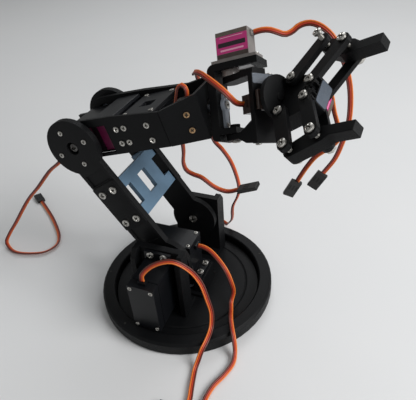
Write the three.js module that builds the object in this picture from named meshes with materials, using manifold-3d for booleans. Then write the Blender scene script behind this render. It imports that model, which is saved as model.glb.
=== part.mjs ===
// Desktop robot arm, printed in black plastic and driven by hobby servos.
// Millimetres, +Z up. The origin is on the turning axis of the base, in the plane that it stands on.
// The arm lies in a plane parallel to XZ and reaches towards +X.
import * as THREE from 'three';
import { mergeVertices } from 'three/addons/utils/BufferGeometryUtils.js';
import Module from 'manifold-3d';

const wasm = await Module();
wasm.setup();

// ---------------------------------------------------------------- driving dimensions
const GAP = 0.3;                 // play between neighbouring pieces
const BASE_R = 66.5;             // base ring
const BASE_H = 11;
const RECESS_R = 56.6;
const FLOOR_Z = 5;               // top of the turntable
const DECK_Z = FLOOR_Z + GAP;    // underside of what stands on the turntable

const SHOULDER = [-5, 42.6];     // shoulder axis, x and z
const UPPER_LENGTH = 102;        // shoulder axis to elbow axis
const ARM_Y = 9;                 // middle plane of the arm
const UPPER_INNER = 23.4;        // half the space between the upper arm's side plates
const UPPER_PLATE = 4.6;
const FORE_OUTER = 22.8;         // half the forearm's width
const PIVOT_X = 107;             // elbow axis to wrist yaw axis

// joint angles of the rest position, degrees
const UPPER_LEAN = 34.4;         // upper arm, backwards from upright
const FORE_RISE = 16.6;          // forearm, above level
const WRIST_ROLL = 31;
const WRIST_YAW = 23.5;
const GRIP_ROLL = 34;
const LINK_ANGLE = 61;           // gripper links, out from the gripper's axis

// gripper linkage, in the gripper's own frame (x forwards, z across the fingers)
const OUTER_PIVOT = [24.6, 11.3];
const LINK_PIVOT = [39.2, 5.2];
const LINK_LENGTH = 25.6;
const GRIP_AXIS = [11.9, 5.2, -2.6];  // gripper's own frame, from the wrist yaw axis
const NEAR_LINK = [-1, 2];       // where the near links lie across the gripper
const CORE = [2.3, 11.7];        // the gripper body
const FINGER = [4.4, 11.4];
const FAR_LINK = [12, 14.4];
const SERVO_Y = 8.9;             // face of the gripper's servo, on the upper outer link's axis

// ---------------------------------------------------------------- materials
const finish = (color, roughness, metalness = 0) => () => (
  new THREE.MeshStandardMaterial({ color, roughness, metalness }));
const printed = finish(0x18191c, 0.55);
const glossyCase = finish(0x121418, 0.35);
const clearCase = finish(0x6d6a66, 0.25);
const steel = finish(0xc9c9c6, 0.3, 1);
const nylon = finish(0xb9bcc0, 0.5);
const wire = finish(0xb4492a, 0.5);
const connectorPlastic = finish(0x111111, 0.45);

// ---------------------------------------------------------------- shape helpers
function solid(geometry) {
  const plain = geometry.clone();
  plain.deleteAttribute('normal');
  plain.deleteAttribute('uv');
  const merged = mergeVertices(plain, 1e-4);
  return new wasm.Manifold(new wasm.Mesh({
    numProp: 3,
    vertProperties: new Float32Array(merged.attributes.position.array),
    triVerts: new Uint32Array(merged.index.array),
  }));
}

function geometryOf(manifold) {
  const mesh = manifold.getMesh();
  const geometry = new THREE.BufferGeometry();
  geometry.setAttribute('position', new THREE.BufferAttribute(new Float32Array(mesh.vertProperties), 3));
  geometry.setIndex(new THREE.BufferAttribute(new Uint32Array(mesh.triVerts), 1));
  geometry.computeVertexNormals();
  return geometry;
}

const join = (...pieces) => geometryOf(pieces.map(solid).reduce((a, b) => a.add(b)));
const cut = (body, ...tools) => geometryOf(tools.map(solid).reduce((a, b) => a.subtract(b), solid(body)));

// a box given by its lowest and highest corners
function block(x0, x1, y0, y1, z0, z1) {
  const box = new THREE.BoxGeometry(x1 - x0, y1 - y0, z1 - z0);
  return box.translate((x0 + x1) / 2, (y0 + y1) / 2, (z0 + z1) / 2);
}

// cylinders along one axis, from a to b on that axis
const rodZ = (x, y, r, a, b, sides = 20) =>
  new THREE.CylinderGeometry(r, r, b - a, sides).rotateX(Math.PI / 2).translate(x, y, (a + b) / 2);
const rodY = (x, z, r, a, b, sides = 20) => (
  new THREE.CylinderGeometry(r, r, b - a, sides).translate(x, (a + b) / 2, z));
const rodX = (y, z, r, a, b, sides = 20) =>
  new THREE.CylinderGeometry(r, r, b - a, sides).rotateZ(-Math.PI / 2).translate((a + b) / 2, y, z);

// an outline in the XZ plane, from y = a to y = b
function plateXZ(points, a, b) {
  const shape = new THREE.Shape(points.map(([x, z]) => new THREE.Vector2(x, z)));
  const plate = new THREE.ExtrudeGeometry(shape, { depth: b - a, bevelEnabled: false });
  return plate.rotateX(Math.PI / 2).translate(0, b, 0);
}

// an outline in the YZ plane, from x = a to x = b
function plateYZ(points, a, b) {
  const shape = new THREE.Shape(points.map(([y, z]) => new THREE.Vector2(y, z)));
  const plate = new THREE.ExtrudeGeometry(shape, { depth: b - a, bevelEnabled: false });
  return plate.rotateX(Math.PI / 2).rotateZ(Math.PI / 2).translate(a, 0, 0);
}

// points on an arc round (x, z), angles in degrees
function arc(x, z, r, from, to, steps) {
  const points = [];
  for (let i = 0; i <= steps; i += 1) {
    const t = THREE.MathUtils.degToRad(from + ((to - from) * i) / steps);
    points.push([x + r * Math.cos(t), z + r * Math.sin(t)]);
  }
  return points;
}

// a bar with round ends between two pivots, in the XZ plane
function linkOutline([x0, z0], [x1, z1], r0, r1) {
  const lean = THREE.MathUtils.radToDeg(Math.atan2(z1 - z0, x1 - x0));
  return [...arc(x1, z1, r1, lean - 90, lean + 90, 10), ...arc(x0, z0, r0, lean + 90, lean + 270, 10)];
}

// a block between two rectangles standing at x0 and x1, each [y0, y1, z0, z1]
function taper(x0, [a0, a1, a2, a3], x1, [b0, b1, b2, b3]) {
  const box = new THREE.BoxGeometry(1, 1, 1);
  const position = box.attributes.position;
  for (let i = 0; i < position.count; i += 1) {
    const far = position.getX(i) > 0;
    const y = position.getY(i) > 0 ? (far ? b1 : a1) : (far ? b0 : a0);
    const z = position.getZ(i) > 0 ? (far ? b3 : a3) : (far ? b2 : a2);
    position.setXYZ(i, far ? x1 : x0, y, z);
  }
  return box;
}

const piece = (name, geometry, material) => {
  const mesh = new THREE.Mesh(geometry, material());
  mesh.name = name;
  return mesh;
};

const rad = THREE.MathUtils.degToRad;

// a group whose own axes point along x, y and z in its parent
function framed(origin, x, y, z) {
  const group = new THREE.Group();
  const basis = new THREE.Matrix4().makeBasis(...[x, y, z].map((v) => new THREE.Vector3(...v)));
  group.quaternion.setFromRotationMatrix(basis);
  group.position.set(...origin);
  return group;
}

// ---------------------------------------------------------------- servos
// Each servo's own frame has its shaft along +z, the case's top face at z = 0, and the shaft end
// of the case, which the lead leaves, towards +x.
const BIG = { back: -30.5, front: 10, half: 9.9, depth: 37, lid: 6.7, flange: [-10.2, -7.7], ear: 6.9 };
const SMALL = { back: -14.7, front: 5.4, half: 5.3, depth: 21, flange: [-5.7, -3.5], ear: 4.1, boss: 5.2 };

function servoCase(size, low, high, ear = size.ear) {
  const { back, front, half } = size;
  const [f0, f1] = size.flange;
  const ears = block(back - ear, front + ear, -half, half, f0, f1);
  return join(block(back, front, -half, half, low, high), ears);
}

function bigServo(name) {
  const group = new THREE.Group();
  const { back, front, half, depth, lid, flange } = BIG;
  const middle = (back + front) / 2;
  const earHoles = [-1, 1].flatMap((end) => [-5, 5].map((y) =>
    rodZ(middle + end * 24.75, y, 2.2, flange[0] - 1, flange[1] + 1, 10)));
  const grommet = block(front - 1, front + 2.2, -3, 3, -depth + 3, -depth + 6.5);
  const seam = cut(block(back - 1, front + 1, -half - 1, half + 1, lid - depth, lid - depth + 0.5),
    block(back + 0.5, front - 0.5, 0.5 - half, half - 0.5, lid - depth - 1, lid - depth + 2));
  const shell = join(cut(servoCase(BIG, -depth, 0), seam, ...earHoles), grommet);
  group.add(piece(name, shell, glossyCase));
  return group;
}

// leadEnd is 1 where the lead leaves at the shaft's end and -1 where it leaves at the other end
function smallServo(name, bossHeight, { ear = SMALL.ear, leadEnd = 1 } = {}) {
  const group = new THREE.Group();
  const { back, depth, flange, front, boss } = SMALL;
  const [g0, g1] = leadEnd > 0 ? [front - 1, front + 1.4] : [back - 1.4, back + 1];
  const body = join(servoCase(SMALL, -depth, 0, ear), rodZ(0, 0, boss, -1, bossHeight, 24),
    block(g0, g1, -2.2, 2.2, -depth + 1.5, -depth + 4.5));
  const middle = (back + front) / 2;
  const holes = [-1, 1].map((end) => rodZ(middle + end * 12.2, 0, 0.9, flange[0] - 1, flange[1] + 1, 10));
  group.add(piece(name, ear < SMALL.ear ? body : cut(body, ...holes), clearCase));
  return group;
}

// ---------------------------------------------------------------- base
function baseRing() {
  const profile = [[0, 0], [65.3, 0], [BASE_R, 1.4], [BASE_R, 9.4], [65, BASE_H], [57.6, BASE_H],
    [RECESS_R, 10], [RECESS_R, 2.2], [11, 2.2], [11, 6.6], [0, 6.6]];
  const outline = profile.map(([r, z]) => new THREE.Vector2(r, z));
  const ring = new THREE.LatheGeometry(outline, 56).rotateX(Math.PI / 2);
  return piece('base_ring', ring, printed);
}

const yawHorn = () => piece('yaw_horn',
  join(rodZ(0, 0, 10.2, 6.9, 9.1, 28), rodZ(0, 0, 4.2, 9, 9.8), rodZ(0, 0, 2.9, 9.5, 12.7)), nylon);

function turntable() {
  const rim = RECESS_R - 0.6;
  const profile = [[12.6, 2.5], [rim, 2.5], [rim, FLOOR_Z], [47.6, FLOOR_Z], [47.1, 4.5], [46.4, 4.5],
    [45.9, FLOOR_Z],
    [12.6, FLOOR_Z], [12.6, 2.5]];
  const outline = profile.map(([r, z]) => new THREE.Vector2(r, z));
  const disc = new THREE.LatheGeometry(outline, 48).rotateX(Math.PI / 2);
  return piece('turntable', disc, printed);
}

const YAW_TOP = 13;              // face of the yaw servo that its shaft leaves, pointing down

function yawMount() {
  const shelf = YAW_TOP - BIG.flange[1] - GAP;
  const body = join(block(-38.2, 18.6, -14, 14, DECK_Z, 7.6), block(11, 18.6, -11, 11, 7, shelf),
    block(-38.2, -31.3, -11, 11, 7, shelf));
  return piece('yaw_servo_mount', cut(body, rodZ(0, 0, 11.6, 4, 9, 32)), printed);
}

// ---------------------------------------------------------------- shoulder brackets
const BRACKET = { low: -24, high: 14, top: 60.5, plate: 5, rib: 7.6, wall: 4 };

// side is -1 for the near bracket and 1 for the far one; face is the plate's side towards the arm
function shoulderBracket(name, side, face, holes) {
  const { low, high, top, plate, rib, wall } = BRACKET;
  const span = (a, b) => (side < 0 ? [face - b, face - a] : [face + a, face + b]);
  const [p0, p1] = span(0, plate);
  const [f0, f1] = span(-6.2, 1);
  const outline = [[plate - 0.5, DECK_Z], [plate + rib, DECK_Z], [plate + rib, 54], [plate + rib - 4.5, top],
    [plate - 0.5, top]].map(([y, z]) => [face + side * y, z]);
  if (side > 0) outline.reverse();
  const body = join(block(low, high, p0, p1, DECK_Z, top), block(low, high, f0, f1, DECK_Z, 8.6),
    plateYZ(outline, low, low + wall), plateYZ(outline, high - wall, high));
  return piece(name, cut(body, ...holes), printed);
}

// ---------------------------------------------------------------- upper arm
const NEAR_OUT = ARM_Y - UPPER_INNER - UPPER_PLATE;
const NEAR_IN = ARM_Y - UPPER_INNER;
const FAR_IN = ARM_Y + UPPER_INNER;
const FAR_OUT = FAR_IN + UPPER_PLATE;

// outer is the y of the plate's outer face, dir points from there into the arm
function upperPlate(name, outer, dir, holes) {
  const [a, b] = [outer, outer + dir * UPPER_PLATE].sort((p, q) => p - q);
  const body = join(rodY(0, 0, 18, a, b, 40), rodY(0, UPPER_LENGTH, 19.8, a, b, 40),
    block(-11.5, 11.5, a, b, 0, UPPER_LENGTH));
  const [c, e] = [outer - dir, outer + dir * 1.2].sort((p, q) => p - q);
  const panels = [[19, 33.5], [72.5, 81.5]].map(([low, high]) => block(-9.6, 9.6, c, e, low, high));
  return piece(name, cut(body, ...panels, ...holes), printed);
}

function crosspiece() {
  const [low, high] = [36.2, 69];
  const [y0, y1] = [NEAR_IN + GAP, FAR_IN - GAP];
  const deck = block(6.4, 10, y0, y1, low, high);
  const tabs = [[low, 44.6], [61.2, high]].flatMap(([a, b]) =>
    [[y0, y0 + 3.4], [y1 - 3.4, y1]].map(([p, q]) => block(-9, 7, p, q, a, b)));
  const window = block(5, 12, 3, 13, 44.8, 61);
  const notches = [block(5, 12, y0 - 1, y0 + 7.2, 44.8, 61), block(5, 12, y1 - 7.2, y1 + 1, 44.8, 61)];
  return piece('upper_arm_crosspiece', cut(join(deck, ...tabs), window, ...notches), printed);
}

// ---------------------------------------------------------------- forearm
const FORE_NEAR = ARM_Y - FORE_OUTER;
const FORE_FAR = ARM_Y + FORE_OUTER;
const FORE_NEAR_T = 2.4;
const FORE_FAR_T = 4;
const NOSE_X = 70;

const foreOutline = () => [...arc(0, 0, 16, 90, 224, 16), [20, -11.2], [NOSE_X, -11.2], [NOSE_X, 11.6],
  [36, 14.4]];

function forearmNear() {
  const plate = plateXZ(foreOutline(), FORE_NEAR, FORE_NEAR + FORE_NEAR_T);
  const window = block(14.5, 28.5, FORE_NEAR - 1, FORE_NEAR + 4, -9, 9.6);
  const bore = rodY(0, 0, 2.3, FORE_NEAR - 1, FORE_NEAR + 4);
  return piece('forearm_near_plate', cut(plate, window, bore), printed);
}

function forearmFar() {
  const plate = plateXZ(foreOutline(), FORE_FAR - FORE_FAR_T, FORE_FAR);
  return piece('forearm_far_plate', cut(plate, rodY(0, 0, 11, FORE_FAR - 5, FORE_FAR + 1, 28)), printed);
}

const FORE_Y0 = FORE_NEAR + FORE_NEAR_T + GAP;
const FORE_Y1 = FORE_FAR - FORE_FAR_T - GAP;

const rearDeck = () => piece('forearm_rear_deck', block(15, 33.5, FORE_Y0, FORE_Y1, 10.6, 13), printed);

function frontDeck() {
  const deck = block(37.8, 64, FORE_Y0, FORE_Y1, 8.6, 11.2);
  const cheeks = [[FORE_Y0, FORE_Y0 + 3], [FORE_Y1 - 3, FORE_Y1]]
    .map(([a, b]) => block(37.8, 60.5, a, b, -9, 9));
  return piece('forearm_front_deck', cut(join(deck, ...cheeks), block(46, 55, 4, 12, 7, 13)), printed);
}

function forearmNose() {
  const start = NOSE_X + GAP;
  const outer = taper(start, [FORE_NEAR, FORE_FAR, -11.2, 11.6], 93, [ARM_Y - 14.5, ARM_Y + 19, -13.5, 15]);
  const inner = taper(start - 1, [FORE_NEAR + 3, FORE_FAR - 3, -13, 13],
    90, [ARM_Y - 11.5, ARM_Y + 17, -15, 16.5]);
  const floor = block(start, 92, ARM_Y - 12, ARM_Y + 16, -11.2, -9);
  const wireSlot = block(start - 1, 77, ARM_Y - 19, ARM_Y - 7, -14, -8);
  const shaftHole = rodX(ARM_Y, 0, 6.3, 88, 95, 28);
  const shell = geometryOf(solid(outer).subtract(solid(inner)).add(solid(floor)));
  return piece('forearm_nose', cut(shell, wireSlot, shaftHole), printed);
}

// ---------------------------------------------------------------- wrist
const FRAME = { wall: [-11.6, -6.6], half: 8, top: 22.8, beam: 4, shelf: [-18, -14.6], low: -21.7 };

// a C in side view: the top beam carries the yaw servo, the lower shelf takes the yoke's pin
function wristFrame() {
  const { wall, half, top, beam, shelf, low } = FRAME;
  const [back, face] = wall;
  const outline = [...arc(back + 4, top - 4, 4, 180, 90, 5), [20, top], [20, top - beam],
    [face, top - beam], [face, shelf[1]], [4, shelf[1]], [4, shelf[0]], [face, shelf[0]], [face, low],
    ...arc(back + 3, low + 3, 3, 270, 180, 4)];
  const body = plateXZ(outline.reverse(), -half, half);
  return piece('wrist_frame', cut(body, block(-5.8, 15.2, -5.7, 5.7, top - beam - 1, top + 1),
    rodX(0, 0, 2.7, back - 1, face + 1), rodZ(0, 0, 2.2, shelf[0] - 1, shelf[1] + 1)), printed);
}

function rollHorn() {
  const arm = [...arc(0, 5, 2.6, 0, 180, 8), ...arc(0, -12, 2.4, 180, 360, 8)];
  const x0 = FRAME.wall[1] + GAP;
  return piece('wrist_roll_horn',
    join(plateYZ(arm, x0, x0 + 1.7), rodX(0, 0, 4.4, x0, x0 + 2), rodX(0, 0, 2.3, -16.6, x0 + 1)), nylon);
}

// the yoke turns on the yaw servo's shaft above and on a pin below; its plate holds the roll servo
function wristYoke() {
  const [gx, gy, gz] = GRIP_AXIS;
  const plate = [gx + 7.8, gx + 11];
  const { back, front, half } = SMALL;
  const upperArm = [rodZ(0, 0, 5, 11.4, 15.1, 28), block(0, plate[0] + 1, -5, 5, 11.4, 15.1)];
  const gusset = [[0, -18.3], [10, -18.3], [plate[0], -13], [plate[1], -13], [plate[1], -26], [14, -25],
    [8, -21.8], [0, -21.8]];
  const lowerArm = [rodZ(0, 0, 5.6, -21.8, -18.3, 28), plateXZ([...gusset].reverse(), -5.6, 5.6)];
  const pin = [rodZ(0, 0, 1.8, -19, -13), rodZ(0, 0, 3, -14.3, -12.3)];
  const face = cut(block(...plate, gy - 11, gy + 12.5, -26, 12.3),
    block(plate[0] - 1, plate[1] + 1, gy - front - 0.4, gy - back + 0.4, gz - half - 0.4, gz + half + 0.4));
  const cap = block(plate[0], plate[1], -5, 5, 11.4, 15.1);
  return piece('wrist_yoke', join(face, cap, ...upperArm, ...lowerArm, ...pin), printed);
}

// ---------------------------------------------------------------- gripper
const SHIFT = [LINK_LENGTH * Math.cos(rad(LINK_ANGLE)), LINK_LENGTH * Math.sin(rad(LINK_ANGLE))];

const rollDisc = () => piece('gripper_roll_disc',
  cut(join(rodX(0, 0, 12.3, 17.3, 20, 40), rodX(0, 0, 2.2, 19, 20.9)), rodX(0, 0, 6.3, 17, 18.6, 28),
    block(18.9, 21, SERVO_Y - 0.5, 13, -4.1, 13)), printed);

function gripperBody() {
  const [gx, gz] = OUTER_PIVOT;
  const [lx, lz] = LINK_PIVOT;
  const back = gx - 4.3;
  const outline = [[lx + 5, lz + 2], [lx + 1, lz + 5.2], ...arc(gx, gz, 4.2, 60, 170, 6),
    [back, 0], ...arc(gx, -gz, 4.2, 190, 300, 6), [lx + 1, -lz - 5.2], [lx + 5, -lz - 2]];
  const core = plateXZ(outline, CORE[0], CORE[1]);
  const low = gz + SMALL.back;
  const high = gz + SMALL.front;
  const shelf = block(back, 33, SERVO_Y + GAP, SERVO_Y + 3.2, low - 4.6, high + 4.5);
  const wide = SMALL.half + GAP;
  const pocket = block(gx - wide, gx + wide, SERVO_Y - GAP, SERVO_Y + 5, low - GAP, high + GAP);
  const bores = [[gx, gz], [gx, -gz], [lx, lz], [lx, -lz]].map(([x, z]) => rodY(x, z, 1.9, 1, 13, 12));
  const hub = rodX(0, 0, 2.7, 19, 21.3);
  return piece('gripper_body', cut(join(core, shelf), pocket, hub, ...bores), printed);
}

// sign is 1 for the upper link and -1 for the lower one
function outerLink(sign) {
  const [gx, gz] = OUTER_PIVOT;
  const pivot = [gx, sign * gz];
  const tip = [gx + SHIFT[0], sign * (gz + SHIFT[1])];
  const bar = plateXZ(linkOutline(pivot, tip, 4.2, 3.6), ...NEAR_LINK);
  const bores = [pivot, tip].map(([x, z]) => rodY(x, z, 1.9, -2, 3, 12));
  return piece(`outer_link_${sign > 0 ? 'upper' : 'lower'}`, cut(bar, ...bores), printed);
}

const TEETH = 12;                // round the whole circle of a link's gear
const PITCH_R = LINK_PIVOT[1];

// the toothed part of a near inner link, which meshes with its mirror image on the gripper's axis
function gearSector(sign) {
  const [lx, lz] = LINK_PIVOT;
  const outline = [[lx, sign * lz]];
  for (let k = -1; k <= 3; k += 1) {
    const middle = -90 + (k + (sign > 0 ? 0 : 0.5)) * (360 / TEETH);
    const flanks = [[-0.27, PITCH_R - 1], [-0.11, PITCH_R + 0.7], [0.11, PITCH_R + 0.7],
      [0.27, PITCH_R - 1]];
    for (const [t, r] of flanks) {
      const angle = rad(middle + (t * 360) / TEETH);
      outline.push([lx + r * Math.cos(angle), sign * (lz + r * Math.sin(angle))]);
    }
  }
  return plateXZ(outline, ...NEAR_LINK);
}

function innerLink(sign, far) {
  const [lx, lz] = LINK_PIVOT;
  const pivot = [lx, sign * lz];
  const tip = [lx + SHIFT[0], sign * (lz + SHIFT[1])];
  const bar = plateXZ(linkOutline(pivot, tip, far ? 3.8 : 3.6, 3.6), ...(far ? FAR_LINK : NEAR_LINK));
  const body = far ? bar : join(bar, gearSector(sign));
  const bores = [pivot, tip].map(([x, z]) => rodY(x, z, 1.9, -3, 16, 12));
  const name = `inner_link_${sign > 0 ? 'upper' : 'lower'}_${far ? 'far' : 'near'}`;
  return piece(name, cut(body, ...bores), printed);
}

const FINGER_END = 71;
const PAD = 5.3;                 // from the knee's axis in to a finger's pad

function finger(sign) {
  const [gx, gz] = OUTER_PIVOT;
  const [lx, lz] = LINK_PIVOT;
  const root = [gx + SHIFT[0], gz + SHIFT[1]];
  const knee = [lx + SHIFT[0], lz + SHIFT[1]];
  const outline = [...arc(root[0], root[1], 4.2, 60, 240, 8), [knee[0] - 4, knee[1] - 4.6],
    [knee[0] + 2, knee[1] - PAD], [FINGER_END, knee[1] - PAD], [FINGER_END, knee[1] + 0.4],
    [knee[0] + 6.5, knee[1] + 0.6], [knee[0] + 3, knee[1] + 3.4]];
  const body = plateXZ(outline.map(([x, z]) => [x, sign * z]), ...FINGER);
  const bores = [root, knee].map(([x, z]) => rodY(x, sign * z, 1.9, 1, 13, 12));
  return piece(sign > 0 ? 'finger_upper' : 'finger_lower', cut(body, ...bores), printed);
}

// a bolt along y with its head towards -y, and a nut on its end if nut is true
function bolt(name, [x, z], from, to, nut = false) {
  const parts = [rodY(x, z, 1.5, from - 1, to, 12), rodY(x, z, 2.9, from - GAP - 2, from - GAP, 16)];
  if (nut) parts.push(rodY(x, z, 2.8, to - 2.2, to, 6));
  return piece(name, join(...parts), steel);
}

// ---------------------------------------------------------------- leads
const LEAD_R = 1.5;
const LEAD_STEP = 5.4;           // between the sections of a lead's tube

// a lead along world points, as a plain tube with eight sides
function lead(name, points) {
  const stations = points.map((p) => new THREE.Vector3(...p));
  const curve = new THREE.CatmullRomCurve3(stations, false, 'centripetal');
  const section = new THREE.Shape(arc(0, 0, LEAD_R, 0, 315, 7).map(([x, y]) => new THREE.Vector2(x, y)));
  const steps = Math.ceil(curve.getLength() / LEAD_STEP);
  const tube = new THREE.ExtrudeGeometry(section, { steps, bevelEnabled: false, extrudePath: curve });
  return piece(`${name}_lead`, tube, wire);
}

// how far a socket is turned about its lead
const SOCKET_TURN = { wrist_yaw_servo: 90, gripper_servo: 75 };

// the socket on a lead's end
function connector(name, points) {
  const [last, end] = points.slice(-2).map((p) => new THREE.Vector3(...p));
  const group = new THREE.Group();
  group.position.copy(end);
  group.quaternion.setFromUnitVectors(new THREE.Vector3(1, 0, 0), end.clone().sub(last).normalize());
  group.rotateX(rad(SOCKET_TURN[name] ?? 0));
  group.add(piece(`${name}_connector`, block(0.5, 14.5, -3.8, 3.8, -1.3, 1.3), connectorPlastic));
  return group;
}

// points along each servo's lead
const LEADS = {
  shoulder_servo: [[-5, -52.6, 55.1], [-5, -52.3, 59.5], [0, -50, 66], [8, -48, 71.2], [16, -46, 72.6],
    [25, -43, 65.6], [31.1, -41, 54.2], [34.5, -39.5, 37], [36.8, -39.5, 23], [37.8, -44.5, 14.8],
    [38.2, -53, 13.2], [37, -60.5, 10.4], [35.8, -65.5, 4.8], [35.4, -70, 2], [38, -82, 2],
    [40.5, -92, 2], [41, -105, 2], [40.5, -160, 2], [34, -168, 2], [27.5, -160, 2], [27, -112, 2]],
  yaw_servo: [[12.5, 0, 45.2], [17, -0.5, 45.4], [22, -1.5, 44.3], [28.5, -4, 41], [36.6, -8, 34.5],
    [41, -9.5, 24], [42.2, -9.5, 15], [41.6, -13.4, 9], [44, -21, 8.4], [45.8, -26.5, 11.4],
    [48.4, -33.5, 13.7], [51.9, -40.8, 13.5], [54.9, -46, 9.8], [57, -51, 3.8], [57.8, -57.6, 2],
    [55.1, -68.2, 2], [51.3, -77.2, 2], [49.6, -86.8, 2], [50, -105, 2], [50.5, -160, 2], [57, -168, 2],
    [63.5, -160, 2], [64, -112, 2]],
  elbow_servo: [[-74.7, 0.8, 122.2], [-79.5, 0.8, 120.2], [-86, 0.5, 113.5], [-94.3, 0, 101],
    [-107.5, 0, 89.9], [-125.1, 0, 71.2], [-140.4, 0, 55.9], [-163, -3, 27], [-174, -5, 13],
    [-178, -8, 5], [-172.5, -11.5, 2], [-163, -14.2, 2], [-148, -11.4, 2], [-137, -5.5, 2],
    [-133, 4.6, 2], [-137, 14.5, 2], [-157, 33.6, 2], [-178, 49, 2], [-190, 57, 2]],
  wrist_roll_servo: [[2.2, 1.6, 146.1], [1.6, -1.4, 146.2], [2.1, -3.4, 148], [4, -3.8, 152],
    [6.6, -2.5, 156], [7.8, -0.5, 163], [9, 0, 168], [12, 0.2, 170], [14.5, 0, 167.5],
    [14.6, -0.8, 161], [13, -1.6, 154], [11, -2.8, 147], [9.8, -3.2, 140], [9.8, -2.5, 133],
    [8.6, 0, 124.8], [7.1, 1, 115.5], [8.4, 2, 109.6], [12.5, 2.5, 107], [18, 3, 105.3],
    [26.1, 4, 98.8], [31.6, 5, 96], [36.5, 5, 96], [43, 5, 98.8]],
  gripper_roll_servo: [[48.4, 2.2, 161], [46.8, -0.2, 162], [45.2, -2.5, 163.8], [43, -4.1, 167],
    [39.6, -4.7, 170.6], [35, -4, 173.6], [29.8, -2, 175.7], [22.9, 2, 177.1], [17, 8, 175],
    [13, 16, 171], [10, 24, 168.3], [8, 30, 166], [6.8, 35.2, 160], [7.6, 37, 151], [9.5, 36.8, 139],
    [13, 35, 126], [16.5, 33.4, 116.2], [22.6, 32, 111], [28.5, 31, 103.6], [31.6, 31, 96],
    [34.2, 31, 86.1], [34.4, 32, 78.8], [32.3, 34.4, 70.7], [27, 39, 58], [23.4, 46, 46], [20, 55, 33],
    [15.5, 64, 20], [10.5, 71, 11], [7, 76, 4.5], [2, 81, 2], [-8, 86, 2]],
  wrist_yaw_servo: [[46.6, 28.4, 193], [50.6, 28.9, 194.2], [55, 29.9, 194.4], [59.4, 31.2, 193],
    [63.5, 33, 191.4], [67, 35, 192.4], [70.5, 37, 195.3], [75.9, 38, 196.8], [81.6, 38, 195.6],
    [88, 38, 191.3], [91.8, 38, 186.5], [95.1, 38, 180], [98.4, 38, 173.5], [102, 38, 162.1],
    [103.8, 38, 150], [104, 38, 137], [101.8, 38, 123.8], [98.6, 38, 112], [92.3, 38, 100]],
  gripper_servo: [[90.05, 25.4, 159.5], [90.3, 28, 161], [90.8, 30.6, 161.6], [92.2, 32.8, 159.4],
    [93.6, 33, 154.5], [95.4, 32.2, 148], [98, 31, 141.5], [99.8, 30.2, 135.6], [99.6, 30, 130.2],
    [94.6, 30, 124], [87.6, 30, 117], [82, 30, 107.4], [76.8, 30, 96]],
};

// ---------------------------------------------------------------- the whole arm
const robot = new THREE.Group();
robot.add(baseRing(), yawHorn());

const waist = new THREE.Group();
robot.add(waist);
const yawServo = framed([0, 0, YAW_TOP], [1, 0, 0], [0, -1, 0], [0, 0, -1]);
yawServo.add(bigServo('yaw_servo'));
waist.add(turntable(), yawMount(), yawServo);

const CASE_Y = NEAR_OUT - 1.4;   // face of the shoulder servo that its shaft leaves
const bracketFace = CASE_Y + BIG.flange[1] + GAP + BRACKET.plate;
const [sx, sz] = SHOULDER;
const servoOpening = block(sx - 10.3, sx + 10.3, bracketFace - 20, bracketFace + 1, sz - 30.9, sz + 10.4);
const shoulderServo = framed([sx, CASE_Y, sz], [0, 0, 1], [1, 0, 0], [0, 1, 0]);
shoulderServo.add(bigServo('shoulder_servo'));
const farFace = FAR_OUT + 1.2;
waist.add(shoulderBracket('shoulder_bracket_near', -1, bracketFace, [servoOpening]),
  shoulderBracket('shoulder_bracket_far', 1, farFace, [rodY(sx, sz, 2.3, farFace - 1, farFace + 6)]),
  shoulderServo, bolt('shoulder_idler_bolt', [sx, sz], FAR_IN - 0.4, farFace + 7.2));

const upperArm = new THREE.Group();
upperArm.position.set(sx, 0, sz);
upperArm.rotation.y = -rad(UPPER_LEAN);
waist.add(upperArm);
const boreThrough = (z, r, y, sides) => rodY(0, z, r, y - 6, y + 6, sides);
upperArm.add(
  upperPlate('upper_arm_near_plate', NEAR_OUT, 1, [rodY(0, 0, 10.5, NEAR_OUT - 1, NEAR_OUT + 1.6, 28),
    boreThrough(0, 3.3, NEAR_OUT, 20), boreThrough(UPPER_LENGTH, 4.5, NEAR_OUT, 20)]),
  upperPlate('upper_arm_far_plate', FAR_OUT, -1, [boreThrough(0, 2.6, FAR_IN, 16),
    rodY(0, UPPER_LENGTH, 10.5, FAR_IN - 1, FAR_IN + 2.8, 28), boreThrough(UPPER_LENGTH, 3, FAR_OUT, 16)]),
  crosspiece(),
  piece('shoulder_horn',
    join(rodY(0, 0, 10.2, NEAR_OUT - 0.9, NEAR_OUT + 1.3, 28), rodY(0, 0, 3, NEAR_OUT, NEAR_IN)), nylon),
  piece('elbow_horn', join(rodY(0, UPPER_LENGTH, 10.2, FAR_IN + 0.2, FAR_IN + 2.5, 28),
    rodY(0, UPPER_LENGTH, 2.9, FAR_IN - 4.5, FAR_IN + 1)), nylon));

const forearm = new THREE.Group();
forearm.position.set(
  sx - UPPER_LENGTH * Math.sin(rad(UPPER_LEAN)), 0, sz + UPPER_LENGTH * Math.cos(rad(UPPER_LEAN)));
forearm.rotation.y = -rad(FORE_RISE);
robot.add(forearm);
const elbowServo = framed([0, FORE_Y1, 0], [-1, 0, 0], [0, 0, 1], [0, 1, 0]);
elbowServo.add(bigServo('elbow_servo'));
const rollServo = framed([85.6, ARM_Y, 0], [0, -1, 0], [0, 0, -1], [1, 0, 0]);
rollServo.add(smallServo('wrist_roll_servo', 4, { ear: 1 }));
forearm.add(forearmNear(), forearmFar(), rearDeck(), frontDeck(), forearmNose(), elbowServo, rollServo,
  bolt('elbow_idler_bolt', [0, 0], NEAR_OUT + 2.8, FORE_NEAR + FORE_NEAR_T));

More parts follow.
